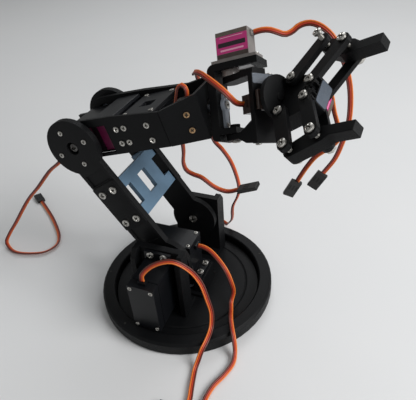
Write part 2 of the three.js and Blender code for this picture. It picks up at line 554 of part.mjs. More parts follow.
const wristRoll = new THREE.Group();
wristRoll.position.set(PIVOT_X, ARM_Y, 0);
wristRoll.rotation.x = -rad(WRIST_ROLL);
forearm.add(wristRoll);
const wristServo = framed([0, 0, FRAME.top + GAP + SMALL.flange[1]], [-1, 0, 0], [0, 1, 0], [0, 0, -1]);
wristServo.add(smallServo('wrist_yaw_servo', 4.2, { leadEnd: -1 }));
wristRoll.add(wristFrame(), rollHorn(), wristServo);

const wristYaw = new THREE.Group();
wristYaw.rotation.z = -rad(WRIST_YAW);
wristRoll.add(wristYaw);
const [gx, gy, gz] = GRIP_AXIS;
const gripRollServo = framed([gx + 17, gy, gz], [0, -1, 0], [0, 0, -1], [1, 0, 0]);
gripRollServo.add(smallServo('gripper_roll_servo', 1.2));
wristYaw.add(wristYoke(), gripRollServo);

const gripper = new THREE.Group();
gripper.position.set(gx, gy, gz);
gripper.rotation.x = -rad(GRIP_ROLL);
wristYaw.add(gripper);
const gripServo = framed([OUTER_PIVOT[0], SERVO_Y, OUTER_PIVOT[1]], [0, 0, 1], [-1, 0, 0], [0, -1, 0]);
gripServo.add(smallServo('gripper_servo', 0));
gripper.add(rollDisc(), gripperBody(), gripServo);
for (const sign of [1, -1]) {
  const end = sign > 0 ? 'upper' : 'lower';
  const [outer, inner] = [OUTER_PIVOT, LINK_PIVOT].map(([x, z]) => [x, sign * z]);
  const [root, knee] = [outer, inner].map(([x, z]) => [x + SHIFT[0], z + sign * SHIFT[1]]);
  gripper.add(outerLink(sign), innerLink(sign, false), innerLink(sign, true), finger(sign),
    bolt(`outer_bolt_${end}`, outer, NEAR_LINK[0], sign > 0 ? 8.2 : CORE[1]),
    bolt(`inner_bolt_${end}`, inner, NEAR_LINK[0], FAR_LINK[1]),
    bolt(`finger_root_bolt_${end}`, root, NEAR_LINK[0], 13.6, true),
    bolt(`finger_bolt_${end}`, knee, NEAR_LINK[0], 17, true));
}

for (const [name, points] of Object.entries(LEADS)) {
  robot.add(lead(name, points), connector(name, points));
}

export default robot;
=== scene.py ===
# Looks of the desktop servo robot arm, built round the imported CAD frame. Points and sizes are in
# millimetres and are scaled by MM. The camera, the lights and the textures' scales are in metres.
import math

import bmesh
import bpy
from mathutils import Matrix, Vector


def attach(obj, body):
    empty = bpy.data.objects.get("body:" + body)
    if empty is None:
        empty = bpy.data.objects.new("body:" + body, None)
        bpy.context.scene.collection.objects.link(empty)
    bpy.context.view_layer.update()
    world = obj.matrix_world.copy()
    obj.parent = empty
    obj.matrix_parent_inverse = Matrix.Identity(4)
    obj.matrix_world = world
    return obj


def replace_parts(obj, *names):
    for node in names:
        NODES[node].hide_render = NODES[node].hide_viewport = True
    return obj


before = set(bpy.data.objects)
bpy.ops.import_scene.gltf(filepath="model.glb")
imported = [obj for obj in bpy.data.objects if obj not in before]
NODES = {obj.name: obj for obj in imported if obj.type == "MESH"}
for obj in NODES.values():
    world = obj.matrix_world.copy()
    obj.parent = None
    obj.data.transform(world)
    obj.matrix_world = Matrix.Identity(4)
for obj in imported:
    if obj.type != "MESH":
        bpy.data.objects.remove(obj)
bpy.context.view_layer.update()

MM = 0.001


def stand(name, data, matrix=None):
    """A new object in the scene, at matrix."""
    obj = bpy.data.objects.new(name, data)
    bpy.context.scene.collection.objects.link(obj)
    if matrix is not None:
        obj.matrix_world = matrix
    return obj


# ---------------------------------------------------------------- camera, fitted to the photograph
CAMERA_AT = Vector((0.1216, -0.2235, 0.2697))
AZIMUTH, ELEVATION, TILT = (math.radians(a) for a in (23.8, 36.4, -4.3))
FOCAL_PX, WIDTH_PX, SENSOR = 450, 416, 36


def make_camera():
    level = math.cos(ELEVATION)
    forward = Vector((-math.sin(AZIMUTH) * level, math.cos(AZIMUTH) * level, -math.sin(ELEVATION)))
    right = Vector((math.cos(AZIMUTH), math.sin(AZIMUTH), 0))
    up = right.cross(forward)
    x = right * math.cos(TILT) + up * math.sin(TILT)
    y = up * math.cos(TILT) - right * math.sin(TILT)
    data = bpy.data.cameras.new("camera")
    data.sensor_width = SENSOR
    data.lens = FOCAL_PX * SENSOR / WIDTH_PX
    data.clip_start = 0.01
    turn = Matrix((x, y, -forward)).transposed().to_4x4()
    bpy.context.scene.camera = stand("camera", data, Matrix.Translation(CAMERA_AT) @ turn)


make_camera()


# ---------------------------------------------------------------- frames of the moving bodies and servos
def rot(degrees, axis):
    return Matrix.Rotation(math.radians(degrees), 4, axis)


def shift(x, y, z):
    return Matrix.Translation(Vector((x, y, z)) * MM)


def axes(origin, x, y, z):
    turn = Matrix((x, y, z)).transposed().to_4x4()
    return Matrix.Translation(Vector(origin) * MM) @ turn


ARM_LENGTH = 102  # shoulder axis to elbow axis
SHOULDER = (-5, 0, 42.6)
BELOW = ((1, 0, 0), (0, -1, 0), (0, 0, -1))  # x, y and z of a face that looks down its parent's z
FACING_X = ((0, 1, 0), (0, 0, 1), (1, 0, 0))  # the same for a face that looks along its parent's x

WAIST = Matrix.Identity(4)
UPPER = shift(*SHOULDER) @ rot(-34.4, "Y")
ELBOW_AT = UPPER @ (Vector((0, 0, ARM_LENGTH)) * MM)
FORE = Matrix.Translation(ELBOW_AT) @ rot(-16.6, "Y")
ROLL = FORE @ shift(107, 9, 0) @ rot(-31, "X")
YAW = ROLL @ rot(-23.5, "Z")
GRIP = YAW @ shift(11.9, 5.2, -2.6) @ rot(-34, "X")

# servo frames: the origin is on the shaft's axis at the top of the case, z runs out of the shaft, and x
# runs to the end of the case that the shaft is nearer to
YAW_SERVO = axes((0, 0, 13), *BELOW)
SHOULDER_SERVO = axes((-5, -20.4, 42.6), (0, 0, 1), (1, 0, 0), (0, 1, 0))
ELBOW_SERVO = FORE @ axes((0, 27.5, 0), (-1, 0, 0), (0, 0, 1), (0, 1, 0))
WRIST_SERVO = ROLL @ axes((0, 0, 19.6), (-1, 0, 0), (0, 1, 0), (0, 0, -1))
GRIP_SERVO = GRIP @ axes((24.6, 8.9, 11.3), (0, 0, 1), (-1, 0, 0), (0, -1, 0))


# ---------------------------------------------------------------- materials
def new_material(name, color, roughness, metallic=0.0, coat=0.0, specular=0.5):
    m = bpy.data.materials.new(name)
    m.use_nodes = True
    shader = m.node_tree.nodes["Principled BSDF"]
    shader.inputs["Base Color"].default_value = (*color, 1)
    shader.inputs["Roughness"].default_value = roughness
    shader.inputs["Metallic"].default_value = metallic
    shader.inputs["Coat Weight"].default_value = coat
    shader.inputs["Specular IOR Level"].default_value = specular
    return m, m.node_tree, shader


def position(tree):
    return tree.nodes.new("ShaderNodeTexCoord").outputs["Object"]


def noise(tree, vector, scale, detail=4.0):
    n = tree.nodes.new("ShaderNodeTexNoise")
    n.inputs["Scale"].default_value = scale
    n.inputs["Detail"].default_value = detail
    tree.links.new(vector, n.inputs["Vector"])
    return n.outputs["Fac"]


def ramp(tree, value, low, high):
    """value remapped from 0..1 to low..high, colours or numbers."""
    if isinstance(low, tuple):
        n = tree.nodes.new("ShaderNodeMix")
        n.data_type = "RGBA"
        tree.links.new(value, n.inputs["Factor"])
        n.inputs["A"].default_value = (*low, 1)
        n.inputs["B"].default_value = (*high, 1)
        return n.outputs["Result"]
    n = tree.nodes.new("ShaderNodeMapRange")
    tree.links.new(value, n.inputs["Value"])
    n.inputs["To Min"].default_value = low
    n.inputs["To Max"].default_value = high
    return n.outputs["Result"]


def bump(tree, shader, height, strength, distance, after=None):
    n = tree.nodes.new("ShaderNodeBump")
    n.inputs["Strength"].default_value = strength
    n.inputs["Distance"].default_value = distance
    tree.links.new(height, n.inputs["Height"])
    if after:
        tree.links.new(after, n.inputs["Normal"])
    tree.links.new(n.outputs["Normal"], shader.inputs["Normal"])
    return n.outputs["Normal"]


LAYER = 0.32 * MM  # height of a printed layer
PLA_BLACK = (0.0022, 0.0024, 0.0028)


def printed(name, up, color=PLA_BLACK, roughness=0.46, specular=0.14):
    """Filament printed in layers that are stacked along up."""
    m, tree, shader = new_material(name, color, roughness, specular=specular)
    here = position(tree)
    dot = tree.nodes.new("ShaderNodeVectorMath")
    dot.operation = "DOT_PRODUCT"
    tree.links.new(here, dot.inputs[0])
    dot.inputs[1].default_value = Vector(up).normalized()
    turns = tree.nodes.new("ShaderNodeMath")
    turns.operation = "MULTIPLY"
    turns.inputs[1].default_value = 2 * math.pi / LAYER
    tree.links.new(dot.outputs["Value"], turns.inputs[0])
    wave = tree.nodes.new("ShaderNodeMath")
    wave.operation = "SINE"
    tree.links.new(turns.outputs[0], wave.inputs[0])
    blotch = noise(tree, here, 90)
    fine = noise(tree, here, 1800, 2)
    lighter = tuple(c * 1.7 + 0.0015 for c in color)
    tree.links.new(ramp(tree, blotch, color, lighter), shader.inputs["Base Color"])
    tree.links.new(ramp(tree, fine, roughness - 0.1, roughness + 0.16), shader.inputs["Roughness"])
    first = bump(tree, shader, wave.outputs[0], 0.35, 0.00008)
    bump(tree, shader, fine, 0.25, 0.0001, after=first)
    return m


def moulded(name, color, roughness, coat=0.0, grain=0.12, specular=0.5):
    """Moulded plastic, or printed film with little grain."""
    m, tree, shader = new_material(name, color, roughness, coat=coat, specular=specular)
    here = position(tree)
    fine = noise(tree, here, 2600, 3)
    blotch = noise(tree, here, 60)
    lighter = tuple(min(1, c * 1.25 + 0.0015) for c in color)
    tree.links.new(ramp(tree, blotch, color, lighter), shader.inputs["Base Color"])
    tree.links.new(ramp(tree, blotch, roughness - 0.05, roughness + 0.1), shader.inputs["Roughness"])
    bump(tree, shader, fine, grain, 0.00006)
    return m


def metal(name, color, roughness):
    m, tree, shader = new_material(name, color, roughness, metallic=1.0)
    here = position(tree)
    spots = noise(tree, here, 700)
    darker = tuple(c * 0.62 for c in color)
    tree.links.new(ramp(tree, spots, darker, color), shader.inputs["Base Color"])
    tree.links.new(ramp(tree, spots, roughness - 0.1, roughness + 0.2), shader.inputs["Roughness"])
    bump(tree, shader, spots, 0.15, 0.00005)
    return m


def smoky(name, color, roughness):
    """Clear plastic with a tint, which shows a little of what is behind it."""
    m, tree, shader = new_material(name, color, roughness, coat=0.3)
    here = position(tree)
    cloud = noise(tree, here, 220)
    lighter = tuple(min(1, c * 1.6 + 0.03) for c in color)
    tree.links.new(ramp(tree, cloud, color, lighter), shader.inputs["Base Color"])
    shader.inputs["Transmission Weight"].default_value = 0.35
    shader.inputs["IOR"].default_value = 1.46
    bump(tree, shader, cloud, 0.1, 0.0001)
    return m


PLA_Z = printed("pla_layers_z", (0, 0, 1))
PLA_Y = printed("pla_layers_y", (0, 1, 0))
PLA_DECK = printed("pla_deck", FORE.to_3x3() @ Vector((0, 0, 1)), (0.005, 0.0056, 0.007), 0.4, 0.25)
# the crosspiece's blue grey is painted glare: window light reflected off black print, put into its colour
PLA_CROSS_GLARE = printed("pla_crosspiece_painted_glare", UPPER.to_3x3() @ Vector((1, 0, 0)), (0.085, 0.145, 0.21), 0.42, 0.4)
# blue grey painted glare: window light reflected off the black print of the yoke and the gripper's end
PLA_GLARE = printed("pla_painted_glare", YAW.to_3x3() @ Vector((1, 0, 0)), (0.035, 0.047, 0.065), 0.35, 0.6)
PLA_NOSE = printed("pla_nose", FORE.to_3x3() @ Vector((1, 0, 0)))
PLA_ROLL = printed("pla_wrist_frame", ROLL.to_3x3() @ Vector((0, 1, 0)))
PLA_YAW = printed("pla_yoke", YAW.to_3x3() @ Vector((1, 0, 0)))
PLA_GRIP = printed("pla_gripper", GRIP.to_3x3() @ Vector((0, 1, 0)))
CASE_BLACK = moulded("case_black", (0.0028, 0.0032, 0.0042), 0.34, coat=0.03, specular=0.2)
CASE_SILVER = smoky("case_smoky_grey", (0.20, 0.18, 0.17), 0.28)
CASE_TINT = smoky("case_smoky_tint", (0.115, 0.088, 0.07), 0.25)
CASE_BROWN = smoky("case_smoky_brown", (0.045, 0.026, 0.02), 0.3)
NYLON = moulded("nylon_grey_blue", (0.34, 0.38, 0.44), 0.45)
STEEL = metal("screw_steel", (0.62, 0.60, 0.56), 0.3)
# dark steel for painted shade in the screws' and bolts' cross recesses
RECESS_SHADE = metal("screw_recess", (0.10, 0.095, 0.085), 0.5)
DARK_STEEL = metal("screw_black_oxide", (0.16, 0.155, 0.15), 0.38)
BRASS = metal("screw_bronze", (0.55, 0.36, 0.2), 0.35)
# near black: painted shade in the lead sockets' contact windows and pin holes, and the rim screws' finish
HOLE = moulded("recess_dark", (0.004, 0.004, 0.004), 0.7)
LABEL_PINK = moulded("label_pink", (0.44, 0.025, 0.16), 0.35, coat=0.15, grain=0.03)
LABEL_PALE = moulded("label_pale_line", (0.66, 0.3, 0.42), 0.35, coat=0.15, grain=0.03)
LABEL_MAGENTA = moulded("label_magenta", (0.13, 0.008, 0.05), 0.35, coat=0.2, grain=0.03)
LABEL_STRIP = moulded("label_strip_black", (0.012, 0.006, 0.009), 0.35, coat=0.1, grain=0.03)
WIRE_BROWN = moulded("wire_brown", (0.095, 0.016, 0.009), 0.42)
WIRE_RED = moulded("wire_red", (0.40, 0.035, 0.012), 0.4)
WIRE_ORANGE = moulded("wire_orange", (0.62, 0.145, 0.02), 0.4)
SOCKET = moulded("socket_black", (0.006, 0.006, 0.006), 0.45)


# ---------------------------------------------------------------- mesh helpers
def put(name, mesh, matrix, body, *mats):
    """A new piece of body at matrix, with mats in its slots."""
    for m in mats:
        if m.name not in mesh.materials:
            mesh.materials.append(m)
    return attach(stand(name, mesh, matrix), body)


def finish_mesh(name, bm, degrees=35):
    """bm as a new mesh, smooth apart from its edges over degrees."""
    mesh = bpy.data.meshes.new(name)
    bm.to_mesh(mesh)
    bm.free()
    mesh.polygons.foreach_set("use_smooth", [True] * len(mesh.polygons))
    mesh.set_sharp_from_angle(angle=math.radians(degrees))
    return mesh


def lathe(name, profile, sides):
    """A turned mesh about +Z through (radius, height) points, from the axis out and back."""
    bm = bmesh.new()
    rings = []
    for r, z in profile:
        if r < 1e-6:
            rings.append([bm.verts.new((0, 0, z * MM))])
            continue
        rings.append([bm.verts.new((r * MM * math.cos(a), r * MM * math.sin(a), z * MM))
                      for a in (2 * math.pi * k / sides for k in range(sides))])
    for a, b in zip(rings, rings[1:]):
        for k in range(sides):
            j = (k + 1) % sides
            corners = [a[k % len(a)], a[j % len(a)], b[j % len(b)], b[k % len(b)]]
            face = list(dict.fromkeys(corners))
            if len(face) > 2:
                bm.faces.new(face)
    bmesh.ops.recalc_face_normals(bm, faces=bm.faces)
    return finish_mesh(name, bm)


def outline_plate(name, points, low, high, bevel=0.0):
    """A closed outline in XY between two heights, with rounded edges where bevel is given."""
    bm = bmesh.new()
    base = [bm.verts.new((x * MM, y * MM, low * MM)) for x, y in points]
    face = bm.faces.new(base)
    top = bmesh.ops.extrude_face_region(bm, geom=[face])
    raised = [v for v in top["geom"] if isinstance(v, bmesh.types.BMVert)]
    bmesh.ops.translate(bm, vec=(0, 0, (high - low) * MM), verts=raised)
    bmesh.ops.recalc_face_normals(bm, faces=bm.faces)
    if bevel:
        sharp = [e for e in bm.edges if e.calc_face_angle(0) > math.radians(30)]
        bmesh.ops.bevel(bm, geom=sharp, offset=bevel * MM, segments=2, profile=0.6, affect="EDGES")
    return finish_mesh(name, bm)


def rounded_rect(x0, x1, y0, y1, r, steps=3):
    points = []
    corners = ((x1 - r, y1 - r, 0), (x0 + r, y1 - r, 90), (x0 + r, y0 + r, 180), (x1 - r, y0 + r, 270))
    for cx, cy, start in corners:
        for k in range(steps + 1):
            a = math.radians(start + 90 * k / steps)
            points.append((cx + r * math.cos(a), cy + r * math.sin(a)))
    return points


def facing(matrix, at, normal, up=None):
    """The place at a point of matrix's frame where a face looks along normal: z comes out of it."""
    z = Vector(normal).normalized()
    x = Vector(up or ((1, 0, 0) if abs(z.x) < 0.9 else (0, 1, 0)))
    x = (x - z * x.dot(z)).normalized()
    return matrix @ axes(at, x, z.cross(x), z)


def side_of(matrix, at, normal):
    """A face with its x along matrix's x, and 1 or -1 as its y runs up or down matrix's z."""
    face = facing(matrix, at, normal, up=(1, 0, 0))
    return face, 1 if face.to_3x3().col[1].dot(matrix.to_3x3().col[2]) > 0 else -1


# ---------------------------------------------------------------- screws
# a screw head's proportions: lengths across it are shares of its radius, heights are shares of its height
HEAD_SIDES, HEAD_RINGS = 32, 7
DOME = 0.35
CROSS_ARM, CROSS_REACH, CROSS_DEPTH, CROSS_FLOOR = 0.17, 0.66, 0.55, 0.4
# faces within these shares of the radius, along the cross's arms, take the painted recess shade
PAINTED_SHADE_ARM, PAINTED_SHADE_REACH = 0.15, 0.62


def screw_mesh(name, r, height):
    """A pan head standing on z = 0, with the faces in its cross recess in the second slot, which takes
    painted shade.
    """
    bm = bmesh.new()
    grid = []
    for i in range(1, HEAD_RINGS + 1):
        rad = r * i / HEAD_RINGS
        ring = []
        for k in range(HEAD_SIDES):
            a = 2 * math.pi * k / HEAD_SIDES
            x, y = rad * math.cos(a), rad * math.sin(a)
            z = height * (1 - DOME * (rad / r) ** 2)
            if min(abs(x), abs(y)) < CROSS_ARM * r and rad < CROSS_REACH * r:
                z -= CROSS_DEPTH * height
            ring.append(bm.verts.new((x * MM, y * MM, z * MM)))
        grid.append(ring)
    centre = bm.verts.new((0, 0, height * CROSS_FLOOR * MM))
    foot = [bm.verts.new((v.co.x, v.co.y, 0)) for v in grid[-1]]
    for k in range(HEAD_SIDES):
        j = (k + 1) % HEAD_SIDES
        bm.faces.new((centre, grid[0][k], grid[0][j])).material_index = 1
        for a, b in zip(grid, grid[1:]):
            quad = bm.faces.new((a[k], b[k], b[j], a[j]))
            middle = quad.calc_center_median() / MM
            # faces near the cross's arms take the painted recess shade too
            if min(abs(middle.x), abs(middle.y)) < PAINTED_SHADE_ARM * r and middle.xy.length < PAINTED_SHADE_REACH * r:
                quad.material_index = 1
        bm.faces.new((grid[-1][k], foot[k], foot[j], grid[-1][j]))
    bm.faces.new(list(reversed(foot)))
    bmesh.ops.recalc_face_normals(bm, faces=bm.faces)
    return finish_mesh(name, bm, 40)


SCREWS = {}  # one mesh for each kind of screw head


def screw(name, matrix, body, r, height, finish=STEEL):
    """A screw head standing on z = 0 of matrix, turned by an angle that its name gives."""
    key = (r, height, finish.name)
    if key not in SCREWS:
        SCREWS[key] = screw_mesh("screw_head", r, height)
    turn = (sum(ord(c) for c in name) * 37) % 90
    return put(name, SCREWS[key], matrix @ rot(turn, "Z"), body, finish, RECESS_SHADE)


# ---------------------------------------------------------------- leads
# each lead's route from its servo to its socket, in the part's own frame at rest
LEADS = {
    "shoulder_servo": [[-5, -52.6, 55.1], [-5, -52.3, 59.5], [0, -50, 66], [8, -48, 71.2], [16, -46, 72.6],
        [25, -43, 65.6], [31.1, -41, 54.2], [34.5, -39.5, 37], [36.8, -39.5, 23], [37.8, -44.5, 14.8],
        [38.2, -53, 13.2], [37, -60.5, 10.4], [35.8, -65.5, 4.8], [35.4, -70, 2], [38, -82, 2],
        [40.5, -92, 2], [41, -105, 2], [40.5, -160, 2], [34, -168, 2], [27.5, -160, 2], [27, -112, 2]],
    "yaw_servo": [[12.5, 0, 45.2], [17, -0.5, 45.4], [22, -1.5, 44.3], [28.5, -4, 41], [36.6, -8, 34.5],
        [41, -9.5, 24], [42.2, -9.5, 15], [41.6, -13.4, 9], [44, -21, 8.4], [45.8, -26.5, 11.4],
        [48.4, -33.5, 13.7], [51.9, -40.8, 13.5], [54.9, -46, 9.8], [57, -51, 3.8], [57.8, -57.6, 2],
        [55.1, -68.2, 2], [51.3, -77.2, 2], [49.6, -86.8, 2], [50, -105, 2], [50.5, -160, 2],
        [57, -168, 2], [63.5, -160, 2], [64, -112, 2]],
    "elbow_servo": [[-74.7, 0.8, 122.2], [-79.5, 0.8, 120.2], [-86, 0.5, 113.5], [-94.3, 0, 101],
        [-107.5, 0, 89.9], [-125.1, 0, 71.2], [-140.4, 0, 55.9], [-163, -3, 27], [-174, -5, 13],
        [-178, -8, 5], [-172.5, -11.5, 2], [-163, -14.2, 2], [-148, -11.4, 2], [-137, -5.5, 2],
        [-133, 4.6, 2], [-137, 14.5, 2], [-157, 33.6, 2], [-178, 49, 2], [-190, 57, 2]],
    "wrist_roll_servo": [[2.2, 1.6, 146.1], [1.6, -1.4, 146.2], [2.1, -3.4, 148], [4, -3.8, 152],
        [6.6, -2.5, 156], [7.8, -0.5, 163], [9, 0, 168], [12, 0.2, 170], [14.5, 0, 167.5],
        [14.6, -0.8, 161], [13, -1.6, 154], [11, -2.8, 147], [9.8, -3.2, 140], [9.8, -2.5, 133],
        [8.6, 0, 124.8], [7.1, 1, 115.5], [8.4, 2, 109.6], [12.5, 2.5, 107], [18, 3, 105.3],
        [26.1, 4, 98.8], [31.6, 5, 96], [36.5, 5, 96], [43, 5, 98.8]],
    "gripper_roll_servo": [[48.4, 2.2, 161], [46.8, -0.2, 162], [45.2, -2.5, 163.8], [43, -4.1, 167],
        [39.6, -4.7, 170.6], [35, -4, 173.6], [29.8, -2, 175.7], [22.9, 2, 177.1], [17, 8, 175],
        [13, 16, 171], [10, 24, 168.3], [8, 30, 166], [6.8, 35.2, 160], [7.6, 37, 151], [9.5, 36.8, 139],
        [13, 35, 126], [16.5, 33.4, 116.2], [22.6, 32, 111], [28.5, 31, 103.6], [31.6, 31, 96],
        [34.2, 31, 86.1], [34.4, 32, 78.8], [32.3, 34.4, 70.7], [27, 39, 58], [23.4, 46, 46], [20, 55, 33],
        [15.5, 64, 20], [10.5, 71, 11], [7, 76, 4.5], [2, 81, 2], [-8, 86, 2]],
    "wrist_yaw_servo": [[46.6, 28.4, 193], [50.6, 28.9, 194.2], [55, 29.9, 194.4], [59.4, 31.2, 193],
        [63.5, 33, 191.4], [67, 35, 192.4], [70.5, 37, 195.3], [75.9, 38, 196.8], [81.6, 38, 195.6],
        [88, 38, 191.3], [91.8, 38, 186.5], [95.1, 38, 180], [98.4, 38, 173.5], [102, 38, 162.1],
        [103.8, 38, 150], [104, 38, 137], [101.8, 38, 123.8], [98.6, 38, 112], [92.3, 38, 100]],
    "gripper_servo": [[90.05, 25.4, 159.5], [90.3, 28, 161], [90.8, 30.6, 161.6], [92.2, 32.8, 159.4],
        [93.6, 33, 154.5], [95.4, 32.2, 148], [98, 31, 141.5], [99.8, 30.2, 135.6], [99.6, 30, 130.2],
        [94.6, 30, 124], [87.6, 30, 117], [82, 30, 107.4], [76.8, 30, 96]],
}
LEAD_BODY = {
    "shoulder_servo": "waist", "yaw_servo": "waist", "elbow_servo": "forearm",
    "wrist_roll_servo": "forearm", "gripper_roll_servo": "wrist_yaw", "wrist_yaw_servo": "wrist_roll",
    "gripper_servo": "gripper",
}
# the direction in which a ribbon's three wires lie side by side where it starts
LEAD_FLAT = {
    "shoulder_servo": (1, 0.1, 0.2), "yaw_servo": (0, 0.77, 0.64), "elbow_servo": (0.5, 0.7, -0.5),
    "wrist_roll_servo": (0, 0, 1), "gripper_roll_servo": (0.1, 0, 1), "wrist_yaw_servo": (0, 0.42, 0.9),
    "gripper_servo": (1, 0, 0),
}
SOCKET_TURN = {"wrist_yaw_servo": 90, "gripper_servo": 75}  # degrees about the lead; the others have 0
WIRE_R = 0.6
WIRE_PITCH = 1.86 * WIRE_R
WIRE_SIDES = 10
RIBBON_STEP = 2.4
SPLINE_STEPS = 24


def spline(points, step):
    """Points step apart along a centripetal Catmull-Rom curve through points, in metres."""
    p = [Vector(q) * MM for q in points]
    p = [p[0] * 2 - p[1]] + p + [p[-1] * 2 - p[-2]]
    dense = []
    for a, b, c, d in zip(p, p[1:], p[2:], p[3:]):
        t1 = (b - a).length ** 0.5
        t2 = t1 + (c - b).length ** 0.5
        t3 = t2 + (d - c).length ** 0.5
        for k in range(SPLINE_STEPS):
            t = t1 + (t2 - t1) * k / SPLINE_STEPS
            u = a * ((t1 - t) / t1) + b * (t / t1)
            v = b * ((t2 - t) / (t2 - t1)) + c * ((t - t1) / (t2 - t1))
            w = c * ((t3 - t) / (t3 - t2)) + d * ((t - t2) / (t3 - t2))
            f = u * ((t2 - t) / t2) + v * (t / t2)
            g = v * ((t3 - t) / (t3 - t1)) + w * ((t - t1) / (t3 - t1))
            dense.append(f * ((t2 - t) / (t2 - t1)) + g * ((t - t1) / (t2 - t1)))
    dense.append(p[-2])
    lengths = [0.0]
    for a, b in zip(dense, dense[1:]):
        lengths.append(lengths[-1] + (b - a).length)
    count = max(2, round(lengths[-1] / step))
    out, i = [], 0
    for k in range(count + 1):
        want = lengths[-1] * k / count
        while i < len(lengths) - 2 and lengths[i + 1] < want:
            i += 1
        part = (want - lengths[i]) / max(1e-9, lengths[i + 1] - lengths[i])
        out.append(dense[i].lerp(dense[i + 1], min(1, part)))
    return out, lengths[-1]


def ribbon(name, points, flat):
    """Three round wires side by side, swept along points; flat is the width's direction at the start."""
    bm = bmesh.new()
    width = Vector(flat)
    rows = []
    for i, p in enumerate(points):
        a, b = points[max(0, i - 1)], points[min(len(points) - 1, i + 1)]
        along = (b - a).normalized()
        width = (width - along * width.dot(along)).normalized()
        thick = along.cross(width)
        row = []
        for w in (-1, 0, 1):
            centre = p + width * (w * WIRE_PITCH * MM)
            row.append([bm.verts.new(centre + (width * math.cos(t) + thick * math.sin(t)) * WIRE_R * MM)
                        for t in (2 * math.pi * k / WIRE_SIDES for k in range(WIRE_SIDES))])
        rows.append(row)
    for r0, r1 in zip(rows, rows[1:]):
        for w in range(3):
            for k in range(WIRE_SIDES):
                j = (k + 1) % WIRE_SIDES
                bm.faces.new((r0[w][k], r0[w][j], r1[w][j], r1[w][k])).material_index = w
    for row in (rows[0], rows[-1]):
        for w in range(3):
            bm.faces.new(row[w]).material_index = w
    bmesh.ops.recalc_face_normals(bm, faces=bm.faces)
    return finish_mesh(name, bm, 50)


def block(bm, x0, x1, y0, y1, z0, z1):
    """A new box in bm; returns its corners."""
    made = bmesh.ops.create_cube(bm, size=1)["verts"]
    bmesh.ops.scale(bm, vec=Vector((x1 - x0, y1 - y0, z1 - z0)) * MM, verts=made)
    bmesh.ops.translate(bm, vec=Vector((x0 + x1, y0 + y1, z0 + z1)) * (MM / 2), verts=made)
    return made


def socket_mesh():
    """A three-way lead socket along x, with its contact windows in the second slot, which take painted
    shade.
    """
    bm = bmesh.new()
    block(bm, 0.5, 14.5, -3.8, 3.8, -1.3, 1.3)
    bmesh.ops.bevel(bm, geom=list(bm.edges), offset=0.35 * MM, segments=2, profile=0.6, affect="EDGES")
    # dark blocks at the contact windows and pin holes: painted shade in the openings
    for y in (-2.3, 0, 2.3):
        for x0, x1, z0, z1 in ((4.5, 8.5, 1.22, 1.42), (14.3, 14.62, -0.8, 0.8)):
            window = block(bm, x0, x1, y - 0.55, y + 0.55, z0, z1)
            for f in {f for v in window for f in v.link_faces}:
                f.material_index = 1
    mesh = bpy.data.meshes.new("lead_socket")
    bm.to_mesh(mesh)
    bm.free()
    return mesh


def make_leads():
    socket = socket_mesh()
    for name, route in LEADS.items():
        points, length = spline(route, RIBBON_STEP * MM)
        body = LEAD_BODY[name]
        mesh = ribbon(f"{name}_ribbon", points, LEAD_FLAT[name])
        lead = put(f"{name}_ribbon", mesh, Matrix.Identity(4), body, WIRE_BROWN, WIRE_RED, WIRE_ORANGE)
        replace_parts(lead, f"{name}_lead")
        last, end = Vector(route[-2]), Vector(route[-1])
        turn = Vector((1, 0, 0)).rotation_difference((end - last).normalized()).to_matrix().to_4x4()
        at = Matrix.Translation(end * MM) @ turn @ rot(SOCKET_TURN.get(name, 0), "X")
        plug = put(f"{name}_socket", socket, at, body, SOCKET, HOLE)
        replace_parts(plug, f"{name}_connector")


make_leads()


# ---------------------------------------------------------------- CAD nodes
CAD_EDGE, HORN_EDGE = 0.35, 0.15  # bevel widths


def dress(node, material, bevel):
    """A CAD node keeps its shape and gets its material and fine rounded edges."""
    obj = NODES[node]
    obj.data.materials.clear()
    obj.data.materials.append(material)
    obj.data.polygons.foreach_set("use_smooth", [True] * len(obj.data.polygons))
    weld = obj.modifiers.new("weld", "WELD")
    weld.merge_threshold = 0.01 * MM
    flats = obj.modifiers.new("flats", "DECIMATE")
    flats.decimate_type = "DISSOLVE"
    flats.angle_limit = math.radians(0.4)
    edges = obj.modifiers.new("edges", "BEVEL")
    edges.width = bevel * MM
    edges.segments = 2
    edges.limit_method = "ANGLE"
    edges.angle_limit = math.radians(38)
    edges.use_clamp_overlap = True
    shade = obj.modifiers.new("shade", "WEIGHTED_NORMAL")
    shade.weight = 100
    shade.keep_sharp = True


# the links and the fingers, which are not listed, have the gripper's material
FINISH = {
    "base_ring": PLA_Z, "turntable": PLA_Z, "yaw_servo_mount": PLA_Z, "yaw_horn": NYLON,
    "shoulder_bracket_near": PLA_Z, "shoulder_bracket_far": PLA_Z,
    "yaw_servo": CASE_BLACK, "shoulder_servo": CASE_BLACK, "elbow_servo": CASE_BLACK,
    "upper_arm_near_plate": PLA_Y, "upper_arm_far_plate": PLA_Y, "upper_arm_crosspiece": PLA_CROSS_GLARE,
    "shoulder_horn": NYLON, "elbow_horn": NYLON,
    "forearm_near_plate": PLA_Y, "forearm_far_plate": PLA_Y, "forearm_rear_deck": PLA_DECK,
    "forearm_front_deck": PLA_DECK, "forearm_nose": PLA_NOSE,
    "wrist_roll_servo": CASE_SILVER, "wrist_frame": PLA_ROLL, "wrist_roll_horn": NYLON,
    "wrist_yaw_servo": CASE_SILVER, "wrist_yoke": PLA_YAW, "gripper_roll_servo": CASE_BROWN,
    "gripper_roll_disc": PLA_YAW, "gripper_body": PLA_GRIP, "gripper_servo": CASE_SILVER,
}
for name in NODES:
    if name.endswith(("_lead", "_connector")) or "_bolt" in name:
        continue  # pieces below replace the leads and the bolts
    dress(name, FINISH.get(name, PLA_GRIP), HORN_EDGE if "horn" in name else CAD_EDGE)


# ---------------------------------------------------------------- servo details
CASE_BOTTOM, EAR_BACK = -37, -10.2  # heights in a big servo's frame


